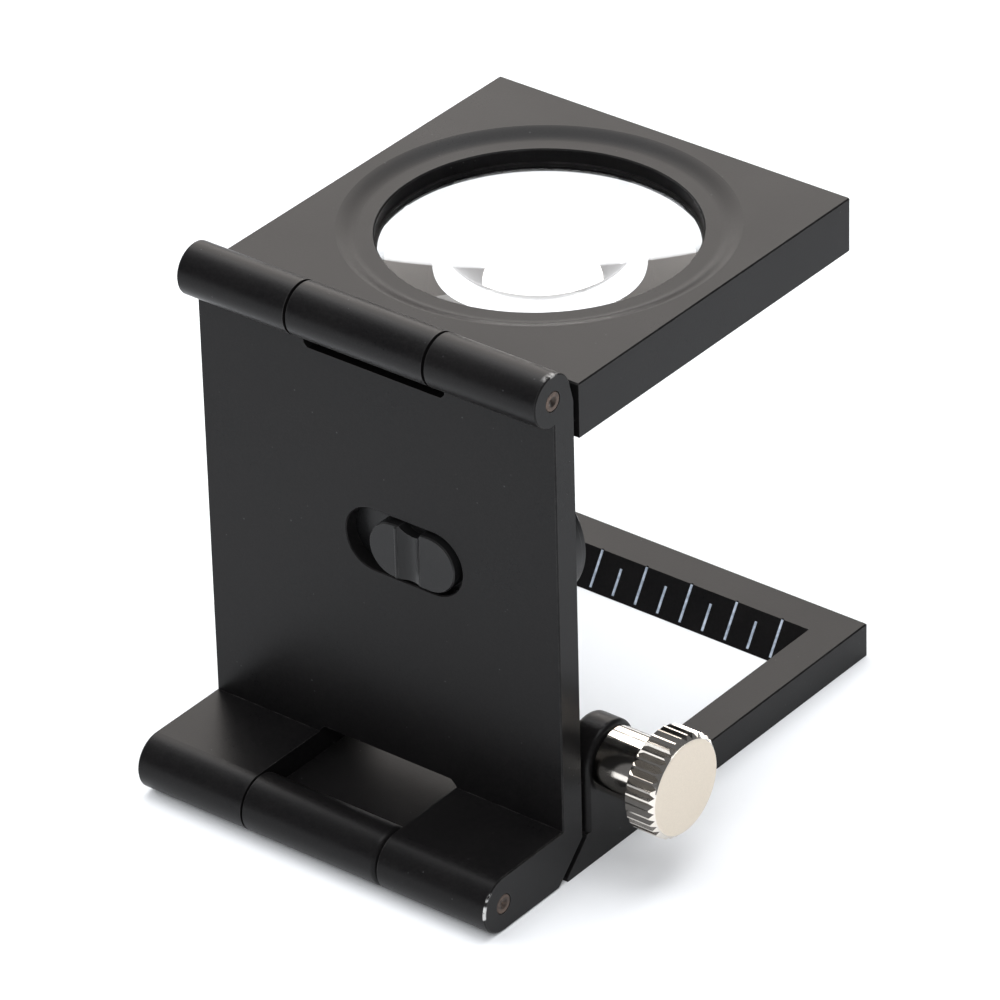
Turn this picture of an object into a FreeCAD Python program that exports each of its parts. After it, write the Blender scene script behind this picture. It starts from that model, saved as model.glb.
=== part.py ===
import FreeCAD, Part
import math
import os

V = FreeCAD.Vector

# ----------------------------------------------------------------------------
# Folding viewing loupe (linen-tester pattern), millimetres, +Z up.
# Origin: on the flat underside of the base, on the centre line, below the
# front face of the upright.  +X runs along the hinge pins towards the knob,
# +Y runs from the upright over the window, +Z runs up to the lens.
# ----------------------------------------------------------------------------

# ---- overall
HALF_W = 24.1            # half width of base and upright
GAP_X = 0.3              # side clearance between hinge knuckles

# ---- base frame
BASE_H = 4.2             # bar height
ARM_W = 4.57             # side arm width
BASE_FAR = 56.35          # far edge of the base
FAR_TOP_W = 4.88         # width of the far bar's top face
BEVEL_RUN = 2.70         # horizontal run of the far bar's scale bevel
BASE_NEAR = 4.2          # near face of the base's cross bar
WIN_NEAR = 10.6          # near edge of the window
WEDGE_Y = 0.75           # toe of the near wedge under the upright
TONGUE_HALF = 9.2        # half width of tongue and lower middle knuckle
FAR_CORNER_R = 0.2       # vertical corner radius at the far corners

# ---- lower hinge
LOW_Y, LOW_Z = -10.4, 3.4
LOW_R = 3.4
PIN_R = 1.2
PIN_BORE_R = 1.25
DIMPLE_R, DIMPLE_D = 0.62, 0.3   # centre dimple in each pin end

# ---- ears and traverse screw
EAR_Y, EAR_Z = 8.9, 11.7
EAR_R = 4.35
EAR_ROUND = 0.6
EAR_T = 3.6
SCREW_R = 2.0
SCREW_BORE_R = 2.06
JOURNAL_R = 1.5
JOURNAL_BORE_R = 1.55
SHOULDER_X = 20.2        # shoulder of the screw inside the right ear
SCREW_LEFT_X = -23.7

# ---- knob
KNOB_X0 = 24.25
COLLAR_R = 3.82
HEAD_X0 = 30.15
HEAD_X1 = 34.05
HEAD_R = 6.05
FACE_R = 5.55
KNURL_N = 36
KNURL_DEPTH = 0.46

# ---- pointer carriage
POINTER_X = -15.0        # parked position
CARR_HALF = 3.0
CARR_Y0, CARR_Y1 = 5.5, 12.3
CARR_Z0 = 4.4
CARR_TOP_R = 3.3
NEEDLE_T = 0.4
NEEDLE_W = 3.0
NEEDLE_TIP_Y = 47.9
NEEDLE_Z0 = 0.9

# ---- scale
DIVISION = 3.175         # one eighth of an inch
TICK_W = 0.34
TICK_D = 0.16

# ---- upright
PL_Y0, PL_Y1 = 0.2, 3.55
FOOT_Z = 6.8
CUT_HALF = 9.5
CUT_Z = 7.65
NOTCH_HALF = 9.5
NOTCH_Z = 55.7
NOTCH_C = 0.5            # corner break of the notch
TOP_Y, TOP_Z = 0.0, 60.6
TOP_R = 3.07
CH_Z = 4.3               # height where the back-bottom chamfer starts

# ---- switch
SLOT_X, SLOT_Z = 3.27, 34.6
SLOT_L, SLOT_H = 15.85, 7.65
POCKET_X0, POCKET_X1 = -8.7, 13.5
POCKET_H = 9.0
POCKET_Y = 1.9
THUMB_X0, THUMB_X1 = -1.08, 10.52
THUMB_H = 6.66
THUMB_Y = -0.33
GROOVE_X, GROOVE_R, GROOVE_D = 4.35, 2.3, 0.55
NICK_R, NICK_D = 1.6, 1.05  # half-round nick at the top end of the groove
RIDGE_X, RIDGE_R = 2.66, 0.2
FLANGE_X0, FLANGE_X1 = -5.0, 12.5

# ---- lamp housing
LAMP_Z = 34.5
LAMP_X = 10.85           # centres of the rounded ends at +-LAMP_X
LAMP_R = 8.0
LAMP_WALL = 1.2
LAMP_Y1 = 11.2
COVER_Y1 = 12.2
CELL_R, CELL_T = 5.8, 5.4
CELL_X = 11.4

# ---- lens panel
PAN_HALF = 24.0
PAN_Z1 = 60.5
PAN_T = 6.65
PAN_Y0, PAN_Y1 = 4.5, 53.05
PAN_CORNER_R = 0.3
PAN_STOP_Y = 3.85
KN_HALF = 9.1
LENS_Y = 29.0
RING_R0 = 22.0           # outer edge of the dished recess in the top face
RING_R1 = 19.6
RING_D = 0.68
OPEN_R = 17.8
LIP_R, LIP_T = 17.55, 0.45        # thin lip at the foot of the opening's wall
LEDGE_D = 2.75
LENS_DROP = 0.32         # clearance between the lip and the lens edge
SEAT_R = 18.6
LENS_R = 18.5
LENS_EDGE = 0.7
LENS_CURV = 73.0


# ---------------------------------------------------------------- helpers
def box(x0, x1, y0, y1, z0, z1):
    return Part.makeBox(x1 - x0, y1 - y0, z1 - z0, V(x0, y0, z0))


def cyl_x(y, z, r, x0, x1):
    return Part.makeCylinder(r, x1 - x0, V(x0, y, z), V(1, 0, 0))


def cyl_y(x, z, r, y0, y1):
    return Part.makeCylinder(r, y1 - y0, V(x, y0, z), V(0, 1, 0))


def cyl_z(x, y, r, z0, z1):
    return Part.makeCylinder(r, z1 - z0, V(x, y, z0), V(0, 0, 1))


def prism_x(pts, x0, x1):
    """Polygon of (y, z) points extruded along X."""
    w = Part.makePolygon([V(x0, y, z) for y, z in pts] + [V(x0, pts[0][0], pts[0][1])])
    return Part.Face(w).extrude(V(x1 - x0, 0, 0))


def prism_y(pts, y0, y1):
    """Polygon of (x, z) points extruded along Y."""
    w = Part.makePolygon([V(x, y0, z) for x, z in pts] + [V(pts[0][0], y0, pts[0][1])])
    return Part.Face(w).extrude(V(0, y1 - y0, 0))


def prism_z(pts, z0, z1):
    w = Part.makePolygon([V(x, y, z0) for x, y in pts] + [V(pts[0][0], pts[0][1], z0)])
    return Part.Face(w).extrude(V(0, 0, z1 - z0))


def revolve_z(pts, cx, cy):
    """Closed (r, z) profile revolved about the vertical line through cx, cy."""
    w = Part.makePolygon([V(cx + r, cy, z) for r, z in pts] + [V(cx + pts[0][0], cy, pts[0][1])])
    return Part.Face(w).revolve(V(cx, cy, 0), V(0, 0, 1), 360)


def revolve_x(pts, cy, cz):
    """Closed (x, r) profile revolved about the line along X through cy, cz."""
    w = Part.makePolygon([V(x, cy, cz + r) for x, r in pts] + [V(pts[0][0], cy, cz + pts[0][1])])
    return Part.Face(w).revolve(V(0, cy, cz), V(1, 0, 0), 360)


def stadium_y(x0, x1, z, r, y0, y1):
    """Slot-shaped bar along Y; x0 and x1 are the centres of its round ends."""
    a = V(x0, y0, z + r)
    b = V(x1, y0, z + r)
    c = V(x1, y0, z - r)
    d = V(x0, y0, z - r)
    e1 = Part.LineSegment(a, b).toShape()
    e2 = Part.Arc(b, V(x1 + r, y0, z), c).toShape()
    e3 = Part.LineSegment(c, d).toShape()
    e4 = Part.Arc(d, V(x0 - r, y0, z), a).toShape()
    return Part.Face(Part.Wire([e1, e2, e3, e4])).extrude(V(0, y1 - y0, 0))


def one(shape):
    s = shape.removeSplitter()
    if len(s.Solids) == 1:
        return s.Solids[0]
    return s


def soften(shape, pick, size, kind="chamfer"):
    """Breaks the edges that pick() chooses; edges that refuse are left sharp."""
    edges = [e for e in shape.Edges if pick(e)]
    if not edges:
        return shape
    f = shape.makeChamfer if kind == "chamfer" else shape.makeFillet
    try:
        r = f(size, edges)
        if r.isValid() and len(r.Solids) == 1 and r.Volume > 0.9 * shape.Volume:
            return r
    except Exception:
        pass
    for e in edges:
        try:
            f = shape.makeChamfer if kind == "chamfer" else shape.makeFillet
            m = e.valueAt((e.FirstParameter + e.LastParameter) / 2)
            e2 = min(shape.Edges, key=lambda q: (q.valueAt((q.FirstParameter + q.LastParameter) / 2) - m).Length)
            r = f(size, [e2])
            if r.isValid() and len(r.Solids) == 1 and r.Volume > 0.9 * shape.Volume:
                shape = r
        except Exception:
            continue
    return shape


def along(e, axis, tol=1e-6):
    if e.Curve.TypeId != "Part::GeomLine":
        return False
    d = e.Vertexes[-1].Point - e.Vertexes[0].Point
    if d.Length < 1e-6:
        return False
    d.normalize()
    return abs(abs(d.dot(axis)) - 1) < tol


def mid(e):
    return e.valueAt((e.FirstParameter + e.LastParameter) / 2)


def near(a, b, t=0.02):
    return abs(a - b) < t


# ---------------------------------------------------------------- base
def scale_cutters(depth, grow=0.0, over=0.0):
    """Engraved division lines on the far bar's bevel: long and short in turn."""
    y_top = BASE_FAR - FAR_TOP_W
    y_bot = y_top - BEVEL_RUN
    slope = V(0, y_top - y_bot, BASE_H)
    length = slope.Length
    u = V(slope)
    u.normalize()
    n = V(0, -u.z, u.y)                # outward normal of the bevel
    out = []
    for i in range(-5, 6):
        x = i * DIVISION
        long_line = (i % 2 != 0)
        s0 = 0.42
        s1 = (length - 0.02 + over) if long_line else length * 0.735
        w = TICK_W / 2 - grow
        p = V(x, y_bot, 0) + u * s0
        q = V(x, y_bot, 0) + u * s1
        lift = 0.25 if depth > 0.15 else 0.0
        a = p - n * depth
        b = q - n * depth
        c = q + n * lift
        d = p + n * lift
        wire = Part.makePolygon([V(x - w, k.y, k.z) for k in (a, b, c, d)] + [V(x - w, a.y, a.z)])
        out.append(Part.Face(wire).extrude(V(2 * w, 0, 0)))
    return out


def make_base_frame():
    y_top = BASE_FAR - FAR_TOP_W
    y_bot = y_top - BEVEL_RUN
    s = box(-HALF_W, HALF_W, BASE_NEAR, BASE_FAR, 0, BASE_H)
    win = prism_x([(WIN_NEAR, -1), (y_bot, -1), (y_bot, 0), (y_top, BASE_H), (y_top, BASE_H + 1), (WIN_NEAR, BASE_H + 1)],
                  -HALF_W + ARM_W, HALF_W - ARM_W)
    s = s.cut(win)
    # wedge under the upright's chamfer, both sides of the tongue
    wedge = prism_x([(BASE_NEAR + 1, 0), (WEDGE_Y, 0), (WEDGE_Y, 0.45), (BASE_NEAR, BASE_H - 0.3), (BASE_NEAR, BASE_H), (BASE_NEAR + 1, BASE_H)],
                    -HALF_W, HALF_W)
    s = s.fuse(wedge)
    # tongue and lower middle knuckle
    s = s.fuse(box(-TONGUE_HALF, TONGUE_HALF, LOW_Y, BASE_NEAR + 1, 0, BASE_H))
    s = s.fuse(cyl_x(LOW_Y, LOW_Z, LOW_R, -TONGUE_HALF, TONGUE_HALF))
    # ears that carry the traverse screw
    for sx in (-1, 1):
        x0, x1 = (HALF_W - EAR_T, HALF_W) if sx > 0 else (-HALF_W, -HALF_W + EAR_T)
        s = s.fuse(cyl_x(EAR_Y, EAR_Z, EAR_R, x0, x1))
        s = s.fuse(box(x0, x1, EAR_Y - EAR_R, EAR_Y + EAR_R, BASE_H - 1, EAR_Z))
    s = one(s)
    s = soften(s, lambda e: along(e, V(0, 0, 1)) and near(abs(mid(e).x), HALF_W) and near(mid(e).y, BASE_FAR), FAR_CORNER_R, "fillet")
    # broken edges on top and along the outside
    s = soften(s, lambda e: near(mid(e).z, BASE_H) and near(mid(e).y, BASE_FAR, 0.3) and near(e.BoundBox.ZLength, 0, 0.01), 0.15)
    # rounded rims of the ears
    def ear_rim(e):
        b = e.BoundBox
        return (near(b.XLength, 0, 0.01) and b.ZMax > BASE_H + 0.5 and b.ZMin > BASE_H - 0.1
                and e.Length > 3 and not (b.ZLength < 3.2 and b.YLength < 3.2))
    s = soften(s, ear_rim, EAR_ROUND, "fillet")
    # bores
    s = s.cut(cyl_x(LOW_Y, LOW_Z, PIN_BORE_R, -TONGUE_HALF - 1, TONGUE_HALF + 1))
    s = s.cut(cyl_x(EAR_Y, EAR_Z, JOURNAL_BORE_R, 0, HALF_W + 1))
    s = s.cut(cyl_x(EAR_Y, EAR_Z, SCREW_BORE_R, -HALF_W - 1, 0))
    for c in scale_cutters(TICK_D, over=0.35):
        s = s.cut(c)
    return one(s)


def make_scale_marks():
    return Part.makeCompound([c.Solids[0] for c in scale_cutters(TICK_D - 0.02, grow=0.02, over=-0.05)])


# ---------------------------------------------------------------- traverse screw, knob, pointer
def make_lead_screw():
    pts = [(SCREW_LEFT_X, 0), (SCREW_LEFT_X, SCREW_R - 0.4), (SCREW_LEFT_X + 0.4, SCREW_R), (SHOULDER_X - 0.2, SCREW_R),
           (SHOULDER_X, SCREW_R - 0.2), (SHOULDER_X, JOURNAL_R), (HEAD_X1 - 1.6, JOURNAL_R), (HEAD_X1 - 1.6, 0)]
    s = revolve_x(pts, EAR_Y, EAR_Z)
    # screwdriver slot in the left end
    s = s.cut(box(SCREW_LEFT_X - 1, SCREW_LEFT_X + 0.7, EAR_Y - 3, EAR_Y + 3, EAR_Z - 0.3, EAR_Z + 0.3))
    return one(s)


def make_knob():
    # straight coarse knurl: V ridges with narrow lands
    pts = []
    for i in range(KNURL_N):
        a = 2 * math.pi * i / KNURL_N
        p = 2 * math.pi / KNURL_N
        for da, r in ((-0.5, HEAD_R - KNURL_DEPTH), (-0.1, HEAD_R), (0.1, HEAD_R)):
            t = a + da * p
            pts.append((EAR_Y + r * math.cos(t), EAR_Z + r * math.sin(t)))
    teeth = prism_x(pts, HEAD_X0, HEAD_X1)
    env = revolve_x([(HEAD_X0, 0), (HEAD_X0, HEAD_R - 0.35), (HEAD_X0 + 0.3, HEAD_R + 0.05), (HEAD_X1 - 0.62, HEAD_R + 0.05),
                     (HEAD_X1 - 0.18, FACE_R + 0.06), (HEAD_X1 - 0.05, FACE_R - 0.02), (HEAD_X1, FACE_R - 0.16), (HEAD_X1, 0)], EAR_Y, EAR_Z)
    head = teeth.common(env)
    collar = revolve_x([(KNOB_X0, 0), (KNOB_X0, COLLAR_R - 0.2), (KNOB_X0 + 0.2, COLLAR_R), (HEAD_X0 + 0.5, COLLAR_R), (HEAD_X0 + 0.5, 0)], EAR_Y, EAR_Z)
    s = head.fuse(collar)
    s = s.cut(cyl_x(EAR_Y, EAR_Z, JOURNAL_R, KNOB_X0 - 1, HEAD_X1 - 1.6))
    # tapped cross hole for the grub screw, on the underside rear of the collar
    d = V(0, math.cos(math.radians(-60)), math.sin(math.radians(-60)))
    s = s.cut(Part.makeCylinder(0.8, COLLAR_R + 1, V(26.6, EAR_Y, EAR_Z), d))
    return one(s)


def make_grub_screw():
    d = V(0, math.cos(math.radians(-60)), math.sin(math.radians(-60)))
    o = V(26.6, EAR_Y, EAR_Z)
    s = Part.makeCylinder(0.8, COLLAR_R - 0.25 - JOURNAL_R, o + d * JOURNAL_R, d)
    # hexagon socket
    e1 = V(1, 0, 0)
    e2 = d.cross(e1)
    c = o + d * (COLLAR_R - 0.95)
    pts = [c + e1 * (0.4 * math.cos(math.radians(60 * k))) + e2 * (0.4 * math.sin(math.radians(60 * k))) for k in range(6)]
    hexf = Part.Face(Part.makePolygon(pts + [pts[0]]))
    return one(s.cut(hexf.extrude(d * 2)))


def make_carriage():
    x0, x1 = POINTER_X - CARR_HALF, POINTER_X + CARR_HALF
    s = cyl_x(EAR_Y, EAR_Z, CARR_TOP_R, x0, x1)
    s = s.fuse(box(x0, x1, EAR_Y - CARR_TOP_R, CARR_Y1, CARR_Z0, EAR_Z))
    s = one(s)
    s = soften(s, lambda e: near(e.BoundBox.XLength, 0, 0.01) and (near(mid(e).x, x0) or near(mid(e).x, x1)), 0.25)
    s = s.cut(cyl_x(EAR_Y, EAR_Z, SCREW_BORE_R, x0 - 1, x1 + 1))
    for z in (6.2, 8.6):
        s = s.cut(cyl_y(POINTER_X, z, 0.6, 10.4 if z < 8 else 11.2, CARR_Y1 + 1))
    return one(s)


def make_needle():
    z1 = NEEDLE_Z0 + NEEDLE_T
    y0, y1 = CARR_Y1, CARR_Y1 + NEEDLE_T
    w = NEEDLE_W / 2
    flag = box(POINTER_X - w, POINTER_X + w, y0, y1, NEEDLE_Z0 + 0.3, 9.7)
    strip = prism_z([(POINTER_X - w, y0 + 0.15), (POINTER_X + w, y0 + 0.15), (POINTER_X + w, y0 + 6), (POINTER_X + 0.12, NEEDLE_TIP_Y), (POINTER_X - 0.12, NEEDLE_TIP_Y),
                     (POINTER_X - w, y0 + 6)], NEEDLE_Z0, z1)
    s = one(flag.fuse(strip))
    for z in (6.2, 8.6):
        s = s.cut(cyl_y(POINTER_X, z, 0.6, y0 - 1, y1 + 1))
    return one(s)


def make_needle_screws():
    out = []
    for z, depth in ((6.2, 1.7), (8.6, 0.95)):
        y1 = CARR_Y1 + NEEDLE_T
        s = cyl_y(POINTER_X, z, 0.6, CARR_Y1 - depth, y1 + 0.01)
        head = cyl_y(POINTER_X, z, 1.05, y1, y1 + 0.6)
        s = s.fuse(head)
        s = s.cut(box(POINTER_X - 2, POINTER_X + 2, y1 + 0.3, y1 + 1, z - 0.13, z + 0.13))
        out.append(one(s))
    return Part.makeCompound(out)


# ---------------------------------------------------------------- upright
def upright_profile(x0, x1):
    k = LOW_R
    # plate and foot; the back-bottom corner is chamfered at 45 degrees
    body = prism_x([(LOW_Y, 0), (PL_Y1 - CH_Z, 0), (PL_Y1, CH_Z), (PL_Y1, 58.6), (PL_Y0, 58.6),
                    (PL_Y0, FOOT_Z), (LOW_Y, FOOT_Z)], x0, x1)
    body = body.fuse(cyl_x(LOW_Y, LOW_Z, LOW_R, x0, x1))
    body = body.fuse(cyl_x(TOP_Y, TOP_Z, TOP_R, x0, x1))
    # neck between plate and upper knuckle: flat front, sweeping back
    a = math.radians(22)
    body = body.fuse(prism_x([(PL_Y0, 58.0), (PL_Y1, 58.0), (PL_Y1 + 0.02, 59.1), (TOP_Y + TOP_R * math.cos(a), TOP_Z + TOP_R * math.sin(a)), (TOP_Y, TOP_Z)], x0, x1))
    return body


def make_upright():
    s = upright_profile(-HALF_W, HALF_W)
    # clearance for the base tongue and its knuckle
    s = s.cut(box(-CUT_HALF, CUT_HALF, -20, PL_Y0, -1, 10))
    c = 0.7
    s = s.cut(prism_y([(-CUT_HALF, -1), (CUT_HALF, -1), (CUT_HALF, CUT_Z - c), (CUT_HALF - c, CUT_Z), (-CUT_HALF + c, CUT_Z), (-CUT_HALF, CUT_Z - c)], PL_Y0 - 0.1, 6))
    # notch for the lens panel knuckle
    c = NOTCH_C
    s = s.cut(prism_y([(-NOTCH_HALF + c, NOTCH_Z), (NOTCH_HALF - c, NOTCH_Z), (NOTCH_HALF, NOTCH_Z + c), (NOTCH_HALF, 70), (-NOTCH_HALF, 70), (-NOTCH_HALF, NOTCH_Z + c)], -6, 8))
    s = one(s)
    # broken side edges of plate and foot
    s = soften(s, lambda e: near(abs(mid(e).x), HALF_W) and near(e.BoundBox.XLength, 0, 0.001) and e.Length > 1.0, 0.14)
    # slot for the switch and the pocket behind it
    r = SLOT_H / 2
    s = s.cut(stadium_y(SLOT_X - SLOT_L / 2 + r, SLOT_X + SLOT_L / 2 - r, SLOT_Z, r, -1, 6))
    def slot_rim(e):
        b = e.BoundBox
        return near(mid(e).y, PL_Y0) and near(b.YLength, 0, 0.001) and b.ZMin > SLOT_Z - 5 and b.ZMax < SLOT_Z + 5 and abs(mid(e).x - SLOT_X) < 9
    s = soften(s, slot_rim, 0.12)
    s = s.cut(box(POCKET_X0, POCKET_X1, POCKET_Y, 6, SLOT_Z - POCKET_H / 2, SLOT_Z + POCKET_H / 2))
    # pin holes and tapped holes for the lamp screws
    s = s.cut(cyl_x(LOW_Y, LOW_Z, PIN_R, -HALF_W - 1, HALF_W + 1))
    s = s.cut(cyl_x(TOP_Y, TOP_Z, PIN_R, -HALF_W - 1, HALF_W + 1))
    for x, z in LAMP_SCREWS:
        s = s.cut(cyl_y(x, z, 0.8, 1.2, 6))
    return one(s)


def make_pin(y, z):
    e = 0.12
    x = HALF_W - 0.02
    return one(revolve_x([(-x + DIMPLE_D, 0), (-x, DIMPLE_R), (-x, PIN_R - e), (-x + e, PIN_R), (x - e, PIN_R), (x, PIN_R - e), (x, DIMPLE_R), (x - DIMPLE_D, 0)], y, z))


# ---------------------------------------------------------------- lamp
LAMP_SCREWS = [(5.0, LAMP_Z + 5.9), (-5.0, LAMP_Z - 5.9)]
LED_D = V(0, 0.61, -0.79)
LED_D.normalize()
LED_P = V(0, 8.3, 27.1)          # where the lamp axis crosses the lower wall


def make_lamp_housing():
    s = stadium_y(-LAMP_X, LAMP_X, LAMP_Z, LAMP_R, PL_Y1, LAMP_Y1)
    s = s.cut(stadium_y(-LAMP_X, LAMP_X, LAMP_Z, LAMP_R - LAMP_WALL, PL_Y1 - 1, LAMP_Y1 + 1))
    for x, z in LAMP_SCREWS:
        post = cyl_y(x, z, 1.6, PL_Y1 + 0.8, LAMP_Y1 - 0.5)
        post = post.common(stadium_y(-LAMP_X, LAMP_X, LAMP_Z, LAMP_R - 0.2, PL_Y1, LAMP_Y1))
        s = s.fuse(post)
    s = one(s)
    for x, z in LAMP_SCREWS:
        s = s.cut(cyl_y(x, z, 0.85, PL_Y1 - 1, LAMP_Y1 + 1))
    s = s.cut(Part.makeCylinder(1.52, 12, LED_P - LED_D * 4, LED_D))
    return one(s)


def make_lamp_board():
    s = stadium_y(-LAMP_X, LAMP_X, LAMP_Z, LAMP_R - LAMP_WALL - 0.1, PL_Y1, PL_Y1 + 0.8)
    for x, z in LAMP_SCREWS:
        s = s.cut(cyl_y(x, z, 0.9, 0, 10))
    return one(s)


def make_led():
    r = 1.5
    back = 3.3
    s = Part.makeCylinder(r, back + 0.7, LED_P - LED_D * back, LED_D)
    s = s.fuse(Part.makeSphere(r, LED_P + LED_D * 0.7))
    s = one(s)
    end = LED_P - LED_D * back
    t = (end.y - (PL_Y1 + 0.8 + 0.35)) / LED_D.y
    for dx in (-0.7, 0.7):
        s = s.fuse(Part.makeCylinder(0.22, t + 0.4, end + V(dx, 0, 0) - LED_D * t, LED_D))
    return one(s)


def make_cells():
    out = []
    y0 = PL_Y1 + 0.8 + 0.65
    for x in (-CELL_X, CELL_X):
        # the can, and the slightly smaller cap face
        s = cyl_y(x, LAMP_Z, CELL_R, y0 + 0.4, y0 + CELL_T)
        s = s.fuse(cyl_y(x, LAMP_Z, CELL_R - 0.8, y0, y0 + 0.5))
        out.append(one(s))
    return Part.makeCompound(out)


def make_cell_springs():
    out = []
    y0 = PL_Y1 + 0.8
    for x in (-CELL_X, CELL_X):
        # bent leaf: foot on the board, arm rising to the cell
        w = Part.makePolygon([V(x - 2.6, y0, LAMP_Z - 1.2), V(x + 0.6, y0, LAMP_Z - 1.2), V(x + 0.9, y0 + 0.2, LAMP_Z - 1.2),
                              V(x - 0.4, y0 + 0.2, LAMP_Z - 1.2), V(x + 1.4, y0 + 0.65, LAMP_Z - 1.2), V(x + 0.8, y0 + 0.65, LAMP_Z - 1.2),
                              V(x - 1.1, y0 + 0.2, LAMP_Z - 1.2), V(x - 2.6, y0 + 0.2, LAMP_Z - 1.2), V(x - 2.6, y0, LAMP_Z - 1.2)])
        out.append(Part.Face(w).extrude(V(0, 0, 2.4)))
    return Part.makeCompound(out)


def make_cell_bridge():
    y0 = PL_Y1 + 0.8 + 0.65 + CELL_T
    return one(stadium_y(-CELL_X, CELL_X, LAMP_Z, 2.2, y0, y0 + 0.3))


def make_lamp_cover():
    s = stadium_y(-LAMP_X, LAMP_X, LAMP_Z, LAMP_R, LAMP_Y1, COVER_Y1)
    s = soften(s, lambda e: near(mid(e).y, COVER_Y1), 0.42)
    s = s.fuse(stadium_y(-LAMP_X, LAMP_X, LAMP_Z, LAMP_R - LAMP_WALL - 0.1, LAMP_Y1 - 0.5, LAMP_Y1))
    for x, z in LAMP_SCREWS:
        s = s.cut(cyl_y(x, z, 0.9, LAMP_Y1 - 1, COVER_Y1 + 1))
        s = s.cut(Part.makeCone(0.9, 1.75, 0.85, V(x, COVER_Y1 - 0.85, z), V(0, 1, 0)))
    return one(s)


def make_lamp_screws():
    out = []
    for x, z in LAMP_SCREWS:
        s = cyl_y(x, z, 0.8, 1.6, COVER_Y1 - 0.8)
        s = s.fuse(Part.makeCone(0.8, 1.65, 0.85, V(x, COVER_Y1 - 0.85, z), V(0, 1, 0)))
        s = s.cut(box(x - 1.1, x + 1.1, COVER_Y1 - 0.35, COVER_Y1 + 1, z - 0.18, z + 0.18))
        s = s.cut(box(x - 0.18, x + 0.18, COVER_Y1 - 0.35, COVER_Y1 + 1, z - 1.1, z + 1.1))
        out.append(one(s))
    return Part.makeCompound(out)


# ---------------------------------------------------------------- switch
def make_switch_slider():
    # thumb piece with full-round ends that follow the slot
    r = THUMB_H / 2
    s = stadium_y(THUMB_X0 + r, THUMB_X1 - r, SLOT_Z, r, THUMB_Y, 2.2)
    s = soften(s, lambda e: near(mid(e).y, THUMB_Y), 0.15)
    # finger groove across the thumb, a nick at its top end and a thin ridge along its left bank
    s = s.cut(Part.makeCylinder(GROOVE_R, 20, V(GROOVE_X, THUMB_Y + GROOVE_D - GROOVE_R, SLOT_Z - 10), V(0, 0, 1)))
    s = s.cut(cyl_y(GROOVE_X + 0.15, SLOT_Z + THUMB_H / 2 - NICK_D + NICK_R, NICK_R, THUMB_Y - 1, 1.4))
    s = s.fuse(cyl_z(RIDGE_X, THUMB_Y + 0.05, RIDGE_R, SLOT_Z - 3.2, SLOT_Z + 3.05))
    flange = box(FLANGE_X0, FLANGE_X1, 2.15, 3.1, SLOT_Z - 4.3, SLOT_Z + 4.3)
    return one(s.fuse(flange))


def make_switch_wiper():
    y0 = 3.1
    z0 = SLOT_Z - 1.0
    w = Part.makePolygon([V(1.0, y0, z0), V(8.4, y0, z0), V(8.4, y0 + 0.12, z0), V(6.2, y0 + 0.12, z0), V(5.4, y0 + 0.35, z0), V(4.6, y0 + 0.35, z0),
                          V(3.4, y0 + 0.12, z0), V(1.0, y0 + 0.12, z0), V(1.0, y0, z0)])
    return Part.Face(w).extrude(V(0, 0, 2.0))


# ---------------------------------------------------------------- lens panel
def make_lens_frame():
    z1, z0 = PAN_Z1, PAN_Z1 - PAN_T
    s = box(-PAN_HALF, PAN_HALF, PAN_Y0, PAN_Y1, z0, z1)
    s = soften(s, lambda e: along(e, V(0, 0, 1)) and near(mid(e).y, PAN_Y1), PAN_CORNER_R, "fillet")
    s = soften(s, lambda e: (near(mid(e).z, z1) or near(mid(e).z, z0)) and near(e.BoundBox.ZLength, 0, 0.001), 0.15)
    # root of the knuckle, web and barrel
    s = s.fuse(box(-KN_HALF, KN_HALF, PAN_STOP_Y, PAN_Y0 + 1.5, z0 + 0.3, z1 - 0.05))
    s = s.fuse(box(-KN_HALF, KN_HALF, 0, PAN_STOP_Y + 0.5, 57.7, z1 - 0.05))
    s = s.fuse(cyl_x(TOP_Y, TOP_Z, TOP_R, -KN_HALF, KN_HALF))
    s = s.cut(cyl_x(TOP_Y, TOP_Z, PIN_BORE_R, -KN_HALF - 1, KN_HALF + 1))
    # dished recess: it leaves the top face at an edge and runs out softly
    n = 10
    dish = []
    for i in range(n + 1):
        t = i / n
        drop = 0.4 * math.sin(t * math.pi / 2) + 0.6 * (1 - math.cos(t * math.pi)) / 2
        dish.append((RING_R0 - (RING_R0 - RING_R1) * t, z1 - RING_D * drop))
    # eye opening with a thin lip at its foot, and the lens seat from below
    zl = z1 - LEDGE_D
    cut = revolve_z([(0, z1 + 1), (RING_R0, z1 + 1)] + dish + [(OPEN_R + 0.15, z1 - RING_D), (OPEN_R, z1 - RING_D - 0.15),
                     (OPEN_R, zl + LIP_T), (LIP_R, zl + LIP_T), (LIP_R, zl), (0, zl)], 0, LENS_Y)
    s = s.cut(cut)
    s = s.cut(cyl_z(0, LENS_Y, LIP_R, z0 - 1, z1))
    s = s.cut(cyl_z(0, LENS_Y, SEAT_R, z0 - 1, zl))
    return one(s)


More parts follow.
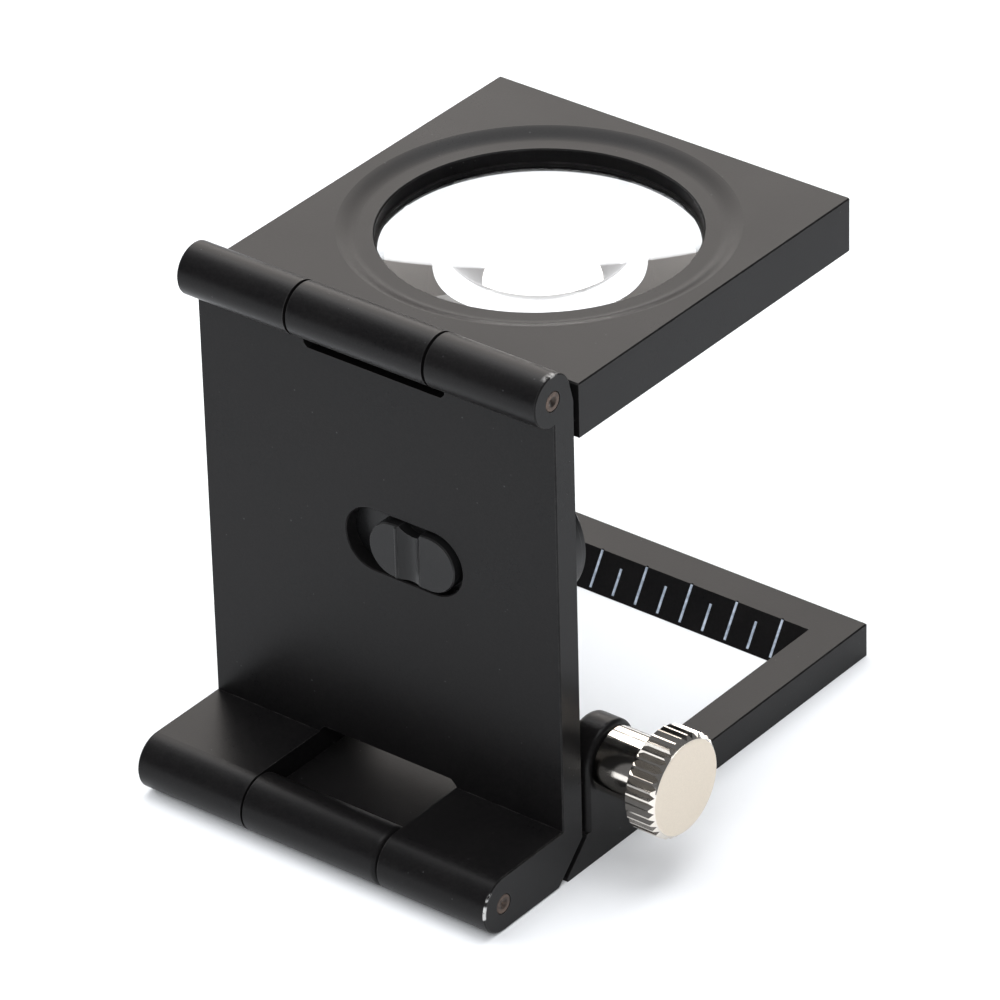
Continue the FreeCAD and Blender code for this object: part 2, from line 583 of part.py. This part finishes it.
def make_lens():
    z1 = PAN_Z1 - LEDGE_D - LENS_DROP
    z0 = z1 - LENS_EDGE
    sag = LENS_CURV - math.sqrt(LENS_CURV ** 2 - LENS_R ** 2)
    e = [
        Part.LineSegment(V(0, LENS_Y, z0 - sag), V(0, LENS_Y, z1 + sag)).toShape(),
        Part.Arc(V(0, LENS_Y, z1 + sag), V(LENS_R * 0.5, LENS_Y, z1 + sag - (LENS_CURV - math.sqrt(LENS_CURV ** 2 - (LENS_R * 0.5) ** 2))), V(LENS_R, LENS_Y, z1)).toShape(),
        Part.LineSegment(V(LENS_R, LENS_Y, z1), V(LENS_R, LENS_Y, z0)).toShape(),
        Part.Arc(V(LENS_R, LENS_Y, z0), V(LENS_R * 0.5, LENS_Y, z0 - sag + (LENS_CURV - math.sqrt(LENS_CURV ** 2 - (LENS_R * 0.5) ** 2))), V(0, LENS_Y, z0 - sag)).toShape(),
    ]
    f = Part.Face(Part.Wire(e))
    return one(f.revolve(V(0, LENS_Y, 0), V(0, 0, 1), 360))


def make_lens_ring():
    z1 = PAN_Z1 - LEDGE_D - LENS_DROP - LENS_EDGE - 0.22
    ri, ro, t = 17.7, SEAT_R, 1.3
    s = revolve_z([(ri + 0.15, z1), (ro, z1), (ro, z1 - t), (ri + 0.3, z1 - t), (ri, z1 - t + 0.3), (ri, z1 - 0.15)], 0, LENS_Y)
    # spanner slots
    for a in (0, 180):
        b = box(ri - 1, ri + 0.62, -0.5, 0.5, z1 - t - 0.5, z1 - t + 0.6)
        b.rotate(V(0, 0, 0), V(0, 0, 1), a)
        b.translate(V(0, LENS_Y, 0))
        s = s.cut(b)
    return one(s)


# ---------------------------------------------------------------- write
PARTS = {
    "base_frame": make_base_frame,
    "scale_marks": make_scale_marks,
    "lead_screw": make_lead_screw,
    "traverse_knob": make_knob,
    "knob_grub_screw": make_grub_screw,
    "pointer_carriage": make_carriage,
    "pointer_needle": make_needle,
    "needle_screws": make_needle_screws,
    "upright": make_upright,
    "lower_hinge_pin": lambda: make_pin(LOW_Y, LOW_Z),
    "upper_hinge_pin": lambda: make_pin(TOP_Y, TOP_Z),
    "lamp_housing": make_lamp_housing,
    "lamp_board": make_lamp_board,
    "lamp_led": make_led,
    "button_cells": make_cells,
    "cell_springs": make_cell_springs,
    "cell_bridge": make_cell_bridge,
    "lamp_cover": make_lamp_cover,
    "lamp_screws": make_lamp_screws,
    "switch_slider": make_switch_slider,
    "switch_wiper": make_switch_wiper,
    "lens_frame": make_lens_frame,
    "lens": make_lens,
    "lens_ring": make_lens_ring,
}

os.makedirs("parts", exist_ok=True)
for name, make in PARTS.items():
    shape = make()
    ok = shape.isValid() and all(q.isValid() and q.Volume > 0 for q in shape.Solids)
    b = shape.BoundBox
    print("%-18s solids %2d valid %s vol %9.2f  x %7.2f..%7.2f y %7.2f..%7.2f z %7.2f..%7.2f" % (
        name, len(shape.Solids), ok, shape.Volume, b.XMin, b.XMax, b.YMin, b.YMax, b.ZMin, b.ZMax))
    shape.exportStep("parts/%s.step" % name)
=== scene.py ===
import math
import bpy
import bmesh
from mathutils import Matrix, Vector


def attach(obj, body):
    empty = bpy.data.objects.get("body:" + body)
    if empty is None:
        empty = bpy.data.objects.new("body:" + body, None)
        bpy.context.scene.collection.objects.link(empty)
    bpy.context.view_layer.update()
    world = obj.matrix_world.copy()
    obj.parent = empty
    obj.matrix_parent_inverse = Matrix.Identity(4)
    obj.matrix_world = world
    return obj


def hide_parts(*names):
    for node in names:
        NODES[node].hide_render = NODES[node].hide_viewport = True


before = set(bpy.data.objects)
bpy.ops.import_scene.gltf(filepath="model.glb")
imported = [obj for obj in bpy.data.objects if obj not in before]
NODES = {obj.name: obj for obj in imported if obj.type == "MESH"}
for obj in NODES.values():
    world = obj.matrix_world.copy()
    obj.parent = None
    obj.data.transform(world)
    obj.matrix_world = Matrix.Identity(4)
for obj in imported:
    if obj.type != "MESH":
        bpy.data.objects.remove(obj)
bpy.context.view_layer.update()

MM = 0.001


# ------------------------------------------------------------------ node helpers
class Mat:
    """A small builder for procedural materials in object coordinates, millimetres."""

    def __init__(self, name):
        self.m = bpy.data.materials.new(name)
        self.m.use_nodes = True
        self.t = self.m.node_tree
        self.t.nodes.clear()
        self.out = self.n("ShaderNodeOutputMaterial")
        self.bsdf = self.n("ShaderNodeBsdfPrincipled")
        self.link(self.bsdf.outputs[0], self.out.inputs[0])
        tc = self.n("ShaderNodeTexCoord")
        mp = self.n("ShaderNodeVectorMath", operation="SCALE")
        self.link(tc.outputs["Object"], mp.inputs[0])
        mp.inputs["Scale"].default_value = 1000.0
        self.pos = mp.outputs[0]

    def n(self, kind, **props):
        node = self.t.nodes.new(kind)
        for k, v in props.items():
            setattr(node, k, v)
        return node

    def link(self, a, b):
        self.t.links.new(a, b)

    def set(self, socket, value):
        s = self.bsdf.inputs[socket]
        if hasattr(value, "is_output") or isinstance(value, bpy.types.NodeSocket):
            self.link(value, s)
        else:
            s.default_value = value

    def math(self, op, a, b=None, c=None, clamp=False):
        node = self.n("ShaderNodeMath", operation=op)
        node.use_clamp = clamp
        for i, v in enumerate((a, b, c)):
            if v is None:
                continue
            if isinstance(v, bpy.types.NodeSocket):
                self.link(v, node.inputs[i])
            else:
                node.inputs[i].default_value = v
        return node.outputs[0]

    def noise(self, scale, detail=3.0, rough=0.55, vec=None, stretch=None, w=0.0):
        v = vec or self.pos
        if stretch:
            mp = self.n("ShaderNodeVectorMath", operation="MULTIPLY")
            self.link(v, mp.inputs[0])
            mp.inputs[1].default_value = stretch
            v = mp.outputs[0]
        node = self.n("ShaderNodeTexNoise")
        node.noise_dimensions = "4D"
        node.inputs["W"].default_value = w
        node.inputs["Scale"].default_value = scale
        node.inputs["Detail"].default_value = detail
        node.inputs["Roughness"].default_value = rough
        self.link(v, node.inputs["Vector"])
        return node.outputs["Fac"] if "Fac" in node.outputs else node.outputs[0]

    def voronoi(self, scale, feature="F1", out="Distance", vec=None):
        node = self.n("ShaderNodeTexVoronoi")
        node.feature = feature
        node.inputs["Scale"].default_value = scale
        self.link(vec or self.pos, node.inputs["Vector"])
        return node.outputs[out]

    def ramp(self, fac, stops):
        node = self.n("ShaderNodeValToRGB")
        el = node.color_ramp.elements
        while len(el) > 1:
            el.remove(el[-1])
        el[0].position, el[0].color = stops[0][0], self.rgba(stops[0][1])
        for p, c in stops[1:]:
            e = el.new(p)
            e.color = self.rgba(c)
        self.link(fac, node.inputs[0])
        return node.outputs[0]

    @staticmethod
    def rgba(c):
        if isinstance(c, (int, float)):
            return (c, c, c, 1)
        return (*c[:3], 1)

    def mix(self, fac, a, b):
        node = self.n("ShaderNodeMix", data_type="RGBA")
        for sock, v in ((node.inputs[0], fac), (node.inputs[6], a), (node.inputs[7], b)):
            if isinstance(v, bpy.types.NodeSocket):
                self.link(v, sock)
            elif sock.type == "RGBA":
                sock.default_value = self.rgba(v)
            else:
                sock.default_value = v
        return node.outputs[2]

    def remap(self, v, a, b, c, d):
        node = self.n("ShaderNodeMapRange")
        self.link(v, node.inputs[0])
        for i, x in enumerate((a, b, c, d)):
            node.inputs[1 + i].default_value = x
        return node.outputs[0]

    def bump(self, height, dist_mm, strength=1.0, normal=None):
        node = self.n("ShaderNodeBump")
        node.inputs["Strength"].default_value = strength
        node.inputs["Distance"].default_value = dist_mm * MM
        self.link(height, node.inputs["Height"])
        if normal is not None:
            self.link(normal, node.inputs["Normal"])
        return node.outputs[0]

    def xyz(self):
        node = self.n("ShaderNodeSeparateXYZ")
        self.link(self.pos, node.inputs[0])
        return node.outputs

    def edge(self, radius_mm=0.12, lo=0.004, hi=0.06):
        """1 along sharp outer edges, from how far the rounded normal leans off the true one."""
        bev = self.n("ShaderNodeBevel")
        bev.samples = 4
        bev.inputs["Radius"].default_value = radius_mm * MM
        geo = self.n("ShaderNodeNewGeometry")
        dot = self.n("ShaderNodeVectorMath", operation="DOT_PRODUCT")
        self.link(bev.outputs[0], dot.inputs[0])
        self.link(geo.outputs["Normal"], dot.inputs[1])
        d = self.math("SUBTRACT", 1.0, dot.outputs["Value"])
        return self.remap(d, lo, hi, 0.0, 1.0), bev.outputs[0]


def black_metal(name, seed=0.0, marks=None):
    """Satin black finish: very dark body, fine blasted grain, cloudy gloss, lint, and lighter edges that are partly
    rubbed wear and partly a painted edge highlight.
    """
    m = Mat(name)
    cloud = m.noise(0.07, 4, 0.6, w=seed)
    grain = m.noise(4.2, 3, 0.65, w=seed + 1)
    fine = m.noise(13.0, 2, 0.5, w=seed + 2)
    base = m.ramp(cloud, [(0.3, (0.0038, 0.0036, 0.0040)), (0.7, (0.0057, 0.0053, 0.0054))])
    base = m.mix(m.remap(grain, 0.40, 0.75, 0.0, 0.5), base, (0.0125, 0.0117, 0.0115))
    # sparse lint and dust
    specks = m.voronoi(0.62, "F1", "Distance")
    sp = m.math("MULTIPLY", m.remap(specks, 0.045, 0.075, 1.0, 0.0), m.remap(m.noise(0.19, 2, w=seed + 5), 0.50, 0.60, 0.0, 1.0))
    base = m.mix(m.math("MULTIPLY", sp, 0.30), base, (0.12, 0.12, 0.125))
    # lighter edges in the base colour: partly rubbed wear, partly a painted edge highlight
    edge, _ = m.edge(0.16)
    worn_edge_and_highlight = m.math("MULTIPLY", edge, m.remap(m.noise(0.45, 4, 0.65, w=seed + 7), 0.42, 0.68, 0.08, 0.75))
    base = m.mix(worn_edge_and_highlight, base, (0.050, 0.048, 0.047))
    rough = m.remap(cloud, 0.3, 0.7, 0.30, 0.38)
    rough = m.math("ADD", rough, m.remap(grain, 0.3, 0.7, -0.05, 0.06))
    # extra colour marks; the upright's are painted highlights on the foot rim and a partly painted highlight on the
    # upper barrel
    if marks:
        for mark, colour in marks(m):
            base = m.mix(mark, base, colour)
    m.set("Base Color", base)
    m.set("Roughness", rough)
    m.set("IOR", 1.243)
    h = m.math("ADD", m.math("MULTIPLY", grain, 0.7), m.math("MULTIPLY", fine, 0.3))
    m.set("Normal", m.bump(h, 0.02, 0.5))
    return m.m


def upright_highlights_and_rub(m):
    """Painted highlights along the front rim of the right foot lobe, and a lighter spot on the upper barrel that is
    partly rubbed wear and partly a painted highlight.
    """
    xyz = m.xyz()
    a = m.math("MULTIPLY", m.math("ADD", xyz[1], 10.4), -1.0)
    b = m.math("ADD", xyz[2], -3.4)
    r = m.math("SQRT", m.math("ADD", m.math("MULTIPLY", a, a), m.math("MULTIPLY", b, b)))
    phi = m.math("ARCTAN2", b, a)
    # painted highlight: light grey along the front rounding of the right foot lobe
    rim = m.math("MULTIPLY", m.remap(xyz[0], 23.86, 23.93, 0.0, 1.0), m.remap(r, 3.02, 3.12, 0.0, 1.0))
    low = m.math("MULTIPLY", m.remap(phi, -0.12, -0.06, 0.0, 1.0), m.remap(phi, 0.42, 0.34, 0.0, 1.0))
    high = m.math("MULTIPLY", m.remap(phi, 0.50, 0.58, 0.0, 1.0), m.remap(phi, 0.90, 0.80, 0.0, 1.0))
    nz = m.noise(1.9, 4, 0.75, w=3.3)
    arc = m.math("ADD", m.math("MULTIPLY", low, m.remap(nz, 0.41, 0.46, 0.0, 1.0)), m.math("MULTIPLY", high, m.remap(nz, 0.50, 0.56, 0.0, 0.6)))
    front = m.remap(xyz[1], -9.0, -9.5, 0.0, 1.0)
    rim_highlight = m.math("MULTIPLY", m.math("MULTIPLY", rim, arc), front, clamp=True)
    # lighter spot on the upper barrel's end corner: partly rubbed wear, partly a painted highlight
    c = m.math("ADD", xyz[2], -60.6)
    top = m.math("MULTIPLY", m.remap(xyz[0], 23.30, 23.9, 0.0, 1.0), m.remap(c, 2.80, 2.98, 0.0, 1.0))
    top = m.math("MULTIPLY", top, m.remap(m.noise(1.4, 4, 0.7, w=8.1), 0.44, 0.56, 0.0, 0.8))
    return [(rim_highlight, (0.55, 0.55, 0.54)), (top, (0.40, 0.39, 0.38))]


def black_plastic(name, seed=0.0):
    """Moulded plastic: spark-eroded texture, and a slight sheen on the high spots painted as lighter colour along the
    edges.
    """
    m = Mat(name)
    cloud = m.noise(0.2, 3, w=seed)
    grain = m.noise(8.0, 2, 0.5, w=seed + 1)
    base = m.ramp(cloud, [(0.3, (0.0060, 0.0060, 0.0064)), (0.7, (0.0090, 0.0088, 0.0090))])
    # painted sheen: the edges lightened in the base colour
    edge, _ = m.edge(0.14)
    base = m.mix(m.math("MULTIPLY", edge, m.remap(m.noise(0.9, 3, w=seed + 4), 0.4, 0.65, 0.1, 0.7)), base, (0.06, 0.059, 0.058))
    m.set("Base Color", base)
    m.set("Roughness", m.remap(grain, 0.3, 0.7, 0.27, 0.40))
    m.set("IOR", 1.33)
    m.set("Normal", m.bump(grain, 0.02, 0.45))
    return m.m


def steel(name, tint=(0.56, 0.55, 0.53), rough=0.25, lines=(0, 9, 9), seed=0.0):
    """Turned or drawn steel: fine tool lines, faint stains."""
    m = Mat(name)
    line = m.noise(1.0, 3, 0.6, stretch=lines, w=seed)
    stain = m.noise(0.35, 4, 0.6, w=seed + 1)
    m.set("Base Color", m.mix(m.remap(stain, 0.45, 0.75, 0.0, 0.5), tint, tuple(c * 0.62 for c in tint)))
    m.set("Metallic", 1.0)
    m.set("Roughness", m.math("ADD", m.remap(stain, 0.3, 0.7, rough, rough + 0.12), m.remap(line, 0.3, 0.7, -0.04, 0.06)))
    m.set("Normal", m.bump(line, 0.006, 0.4))
    return m.m


def nickel(name):
    """Bright nickel with a warm cast; the outer end face is finely blasted."""
    m = Mat(name)
    xyz = m.xyz()
    cloud = m.noise(0.5, 4, 0.6)
    grain = m.noise(9.0, 3, 0.6, w=2)
    turned = m.noise(1.0, 3, 0.6, stretch=(26, 0.6, 0.6), w=5)
    face = m.remap(xyz[0], 33.97, 34.03, 0.0, 1.0)
    shine = m.ramp(cloud, [(0.3, (0.74, 0.695, 0.635)), (0.7, (0.80, 0.755, 0.69))])
    matt = m.mix(m.remap(grain, 0.3, 0.7, 0.0, 1.0), (0.685, 0.615, 0.52), (0.775, 0.70, 0.597))
    m.set("Base Color", m.mix(face, shine, matt))
    m.set("Metallic", 1.0)
    shiny = m.math("ADD", m.remap(cloud, 0.3, 0.7, 0.07, 0.14), m.remap(turned, 0.3, 0.7, -0.02, 0.05))
    rough = m.n("ShaderNodeMix", data_type="FLOAT")
    m.link(face, rough.inputs[0])
    m.link(shiny, rough.inputs[2])
    m.link(m.remap(grain, 0.3, 0.7, 0.42, 0.55), rough.inputs[3])
    m.set("Roughness", rough.outputs[0])
    h = m.math("ADD", m.math("MULTIPLY", m.math("MULTIPLY", grain, face), 1.0), m.math("MULTIPLY", turned, 0.12))
    m.set("Normal", m.bump(h, 0.02, 0.5))
    return m.m


def bronze(name, cy, cz):
    """Pin end: turned bronze gone brown, darker in the centre dimple."""
    m = Mat(name)
    xyz = m.xyz()
    cloud = m.noise(1.1, 4, 0.65)
    a = m.math("ADD", xyz[1], -cy)
    b = m.math("ADD", xyz[2], -cz)
    r = m.math("SQRT", m.math("ADD", m.math("MULTIPLY", a, a), m.math("MULTIPLY", b, b)))
    base = m.ramp(cloud, [(0.34, (0.050, 0.034, 0.027)), (0.52, (0.105, 0.072, 0.055)), (0.70, (0.20, 0.145, 0.11))])
    # darker towards the centre dimple
    base = m.mix(m.math("MULTIPLY", m.remap(r, 0.75, 0.45, 0.0, 1.0), m.remap(cloud, 0.35, 0.6, 0.9, 0.35)), base, (0.022, 0.019, 0.017))
    m.set("Base Color", base)
    m.set("Metallic", 0.7)
    m.set("Roughness", m.remap(cloud, 0.3, 0.7, 0.34, 0.52))
    m.set("Normal", m.bump(m.noise(6, 3), 0.02, 0.5))
    return m.m


def paint(name):
    """Filled-in white enamel, slightly blue, rubbed thin in places."""
    m = Mat(name)
    n1 = m.noise(1.6, 4, 0.6)
    n2 = m.noise(9.0, 2, 0.5, w=1)
    m.set("Base Color", m.ramp(n1, [(0.32, (0.19, 0.23, 0.29)), (0.5, (0.38, 0.44, 0.53)), (0.7, (0.60, 0.66, 0.75))]))
    m.set("Roughness", m.remap(n2, 0.3, 0.7, 0.45, 0.65))
    m.set("Normal", m.bump(n2, 0.01, 0.6))
    return m.m


def lens_glass(name):
    """Clear crown glass with a trace of haze; its rim is ground matt."""
    m = Mat(name)
    xyz = m.xyz()
    a = m.math("ADD", xyz[1], -29.0)
    r = m.math("SQRT", m.math("ADD", m.math("MULTIPLY", xyz[0], xyz[0]), m.math("MULTIPLY", a, a)))
    rim = m.remap(r, 18.40, 18.44, 0.0, 1.0)
    haze = m.noise(0.25, 3, 0.6)
    tooth = m.noise(3.0, 3, 0.6, w=2)
    clear = m.ramp(haze, [(0.3, (0.985, 0.992, 0.990)), (0.7, (0.992, 0.996, 0.995))])
    ground = m.mix(m.remap(tooth, 0.3, 0.7, 0.0, 1.0), (0.90, 0.90, 0.92), (0.97, 0.97, 0.98))
    m.set("Base Color", m.mix(rim, clear, ground))
    m.set("Roughness", m.remap(rim, 0.0, 1.0, 0.0, 0.6))
    m.set("IOR", 1.49)
    m.set("Transmission Weight", m.remap(rim, 0.0, 1.0, 1.0, 0.0))
    return m.m


def board_green(name):
    m = Mat(name)
    n1 = m.noise(0.8, 3)
    weave = m.noise(6, 2, stretch=(4, 1, 1), w=2)
    m.set("Base Color", m.ramp(n1, [(0.3, (0.012, 0.085, 0.035)), (0.7, (0.02, 0.12, 0.05))]))
    m.set("Roughness", m.remap(weave, 0.3, 0.7, 0.28, 0.42))
    m.set("Normal", m.bump(weave, 0.01, 0.4))
    return m.m


def led_resin(name):
    m = Mat(name)
    n1 = m.noise(1.2, 2)
    m.set("Base Color", m.ramp(n1, [(0.3, (0.80, 0.80, 0.74)), (0.7, (0.88, 0.88, 0.83))]))
    m.set("Roughness", m.remap(n1, 0.3, 0.7, 0.12, 0.22))
    m.set("Coat Weight", 0.6)
    m.set("Normal", m.bump(m.noise(5, 2, w=1), 0.01, 0.2))
    return m.m


M = {
    "base_frame": black_metal("base_black", seed=11.0),
    "upright": black_metal("upright_black", seed=2.0, marks=upright_highlights_and_rub),
    "lens_frame": black_metal("panel_black", seed=23.0),
    "lens_ring": black_metal("ring_black", seed=31.0),
    "pointer_carriage": black_metal("carriage_black", seed=41.0),
    "lamp_housing": black_plastic("housing_plastic", 3.0),
    "lamp_cover": black_plastic("cover_plastic", 7.0),
    "switch_slider": black_plastic("slider_plastic", 9.0),
    "traverse_knob": nickel("knob_nickel"),
    "lead_screw": steel("screw_steel", lines=(9, 0.6, 0.6)),
    "pointer_needle": steel("needle_steel", (0.60, 0.59, 0.57), 0.22, (0.8, 6, 6), 4.0),
    "needle_screws": steel("small_screw_steel", (0.50, 0.49, 0.47), 0.30, (6, 6, 6), 5.0),
    "knob_grub_screw": steel("grub_steel", (0.18, 0.18, 0.19), 0.35, (6, 6, 6), 6.0),
    "lamp_screws": steel("cover_screw_steel", (0.46, 0.45, 0.44), 0.30, (7, 7, 7), 8.0),
    "switch_wiper": steel("wiper_spring", (0.62, 0.50, 0.32), 0.25, (1, 6, 6), 9.0),
    "cell_springs": steel("cell_spring_metal", (0.62, 0.50, 0.32), 0.25, (1, 6, 6), 10.0),
    "cell_bridge": steel("bridge_metal", (0.64, 0.62, 0.58), 0.25, (1, 6, 6), 12.0),
    "button_cells": steel("cell_can_metal", (0.68, 0.67, 0.65), 0.20, (3, 3, 3), 13.0),
    "lower_hinge_pin": bronze("pin_bronze_low", -10.4, 3.4),
    "upper_hinge_pin": bronze("pin_bronze_top", 0.0, 60.6),
    "scale_marks": paint("scale_enamel"),
    "lens": lens_glass("lens_crown_glass"),
    "lamp_board": board_green("board_laminate"),
    "lamp_led": led_resin("led_resin_clear"),
}
for name, obj in NODES.items():
    obj.data.materials.clear()
    obj.data.materials.append(M[name])


# ------------------------------------------------------------------ traverse screw with its thread
def thread_mesh():
    """Two-start thread, 2 mm lead, between a plain left tip and the journal inside the knob."""
    cy, cz = 8.9, 11.7
    seg = 48
    rows = []
    rows.append((-23.69, [1.62] * seg))
    rows.append((-23.30, [1.98] * seg))
    rows.append((-20.30, [1.98] * seg))
    x = -20.20
    while x < 19.95:
        ease = min(1.0, (x + 20.2) / 1.0, (19.95 - x) / 1.0)
        ring = []
        for k in range(seg):
            ph = (x / 2.0 - k / seg) * 2.0
            f = abs((ph % 1.0) - 0.5) * 2.0
            f = min(1.0, max(0.0, (f - 0.18) / 0.58))
            ring.append(1.98 - 0.36 * f * ease)
        rows.append((x, ring))
        x += 0.10
    rows.append((20.05, [1.98] * seg))
    rows.append((20.19, [1.82] * seg))
    rows.append((20.19, [1.49] * seg))
    rows.append((32.44, [1.49] * seg))
    me = bpy.data.meshes.new("traverse_screw_threaded")
    bm = bmesh.new()
    rings = []
    for px, ring in rows:
        rings.append([bm.verts.new((px * MM, (cy + r * math.cos(2 * math.pi * k / seg)) * MM, (cz + r * math.sin(2 * math.pi * k / seg)) * MM)) for k, r in enumerate(ring)])
    for p, q in zip(rings, rings[1:]):
        for k in range(seg):
            j = (k + 1) % seg
            bm.faces.new((p[k], q[k], q[j], p[j])).smooth = True
    for ring, flip in ((rings[0], False), (rings[-1], True)):
        bm.faces.new(list(reversed(ring)) if flip else ring)
    bmesh.ops.recalc_face_normals(bm, faces=bm.faces[:])
    bm.to_mesh(me)
    bm.free()
    return me


screw = bpy.data.objects.new("traverse_screw_threaded", thread_mesh())
bpy.context.scene.collection.objects.link(screw)
slot_cut = bpy.data.meshes.new("driver_slot")
bm = bmesh.new()
bmesh.ops.create_cube(bm, size=1.0)
for v in bm.verts:
    v.co = Vector(((-23.95 + v.co.x * 1.9) * MM, (8.9 + v.co.y * 6.0) * MM, (11.7 + v.co.z * 0.6) * MM))
bm.to_mesh(slot_cut)
bm.free()
cutter = bpy.data.objects.new("driver_slot", slot_cut)
bpy.context.scene.collection.objects.link(cutter)
cut = screw.modifiers.new("driver_slot", "BOOLEAN")
cut.operation = "DIFFERENCE"
cut.object = cutter
cut.solver = "EXACT"
bpy.context.view_layer.update()
cooked = bpy.data.meshes.new_from_object(screw.evaluated_get(bpy.context.evaluated_depsgraph_get()))
screw.modifiers.clear()
screw.data = cooked
bpy.data.objects.remove(cutter, do_unlink=True)
screw.data.materials.clear()
screw.data.materials.append(M["lead_screw"])
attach(screw, "knob")
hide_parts("lead_screw")


# ------------------------------------------------------------------ camera
K = 48.0 / 47.0 * MM
cam_pos = Vector((415.796, -499.545, 438.732)) * K
cam_at = Vector((0.796, 19.718, 29.797)) * K
fwd = (cam_at - cam_pos).normalized()
right = fwd.cross(Vector((0, 0, 1))).normalized()
up = right.cross(fwd)
roll = -0.027
r2 = right * math.cos(roll) + up * math.sin(roll)
u2 = -right * math.sin(roll) + up * math.cos(roll)
cd = bpy.data.cameras.new("camera")
cam = bpy.data.objects.new("camera", cd)
bpy.context.scene.collection.objects.link(cam)
rot = Matrix((r2, u2, -fwd)).transposed().to_4x4()
cam.matrix_world = Matrix.Translation(cam_pos) @ rot
cd.sensor_fit = "HORIZONTAL"
cd.sensor_width = 36.0
cd.lens = 7315.99 * 36.0 / 1000.0
cd.shift_x = -0.001
cd.shift_y = -0.0015
cd.clip_start = 0.01
cd.clip_end = 20.0
bpy.context.scene.camera = cam

# ------------------------------------------------------------------ floor and light
bpy.ops.mesh.primitive_plane_add(size=6.0, location=(0, 0, -0.00004))
floor = bpy.context.object
floor.name = "floor"
fm = bpy.data.materials.new("floor_paper")
fm.use_nodes = True
fb = fm.node_tree.nodes["Principled BSDF"]
fb.inputs["Base Color"].default_value = (0.90, 0.91, 0.925, 1)
fb.inputs["Roughness"].default_value = 0.75
fb.inputs["Specular IOR Level"].default_value = 0.2
floor.data.materials.append(fm)


def area(name, loc, target, size, power, color=(1, 1, 1), size_y=None):
    ld = bpy.data.lights.new(name, "AREA")
    ld.shape = "RECTANGLE"
    ld.size = size
    ld.size_y = size_y or size
    ld.energy = power
    ld.color = color
    o = bpy.data.objects.new(name, ld)
    bpy.context.scene.collection.objects.link(o)
    o.location = loc
    d = (Vector(target) - Vector(loc)).normalized()
    o.rotation_euler = d.to_track_quat("-Z", "Y").to_euler()
    return o


sky = area("back_sky", (-0.50, 0.63, 0.50), (0, 0.02, 0.03), 0.95, 6.7, (1.0, 0.945, 0.900), 0.72)
sky.visible_diffuse = False
area("top_soft", (-0.10, 0.22, 1.10), (0, 0.02, 0.0), 1.2, 15.5, (0.985, 0.99, 1.0))
area("left_soft", (-0.95, -0.05, 0.50), (0, 0, 0.03), 0.5, 1.2, (0.97, 0.985, 1.0))
fill = area("front_fill", (0.55, -0.75, 0.75), (0, 0.02, 0.0), 1.1, 10.5, (0.97, 0.985, 1.0))
fill.visible_glossy = False
fill2 = area("left_fill", (-0.85, -0.45, 0.75), (0, 0.02, 0.0), 0.9, 5.5, (0.97, 0.985, 1.0))
fill2.visible_glossy = False

w = bpy.data.worlds.new("studio")
bpy.context.scene.world = w
w.use_nodes = True
wt = w.node_tree
bg = wt.nodes["Background"]
bg.inputs[0].default_value = (0.93, 0.95, 1.0, 1)
bg.inputs[1].default_value = 0.16
bpy.context.scene.view_settings.view_transform = "Standard"
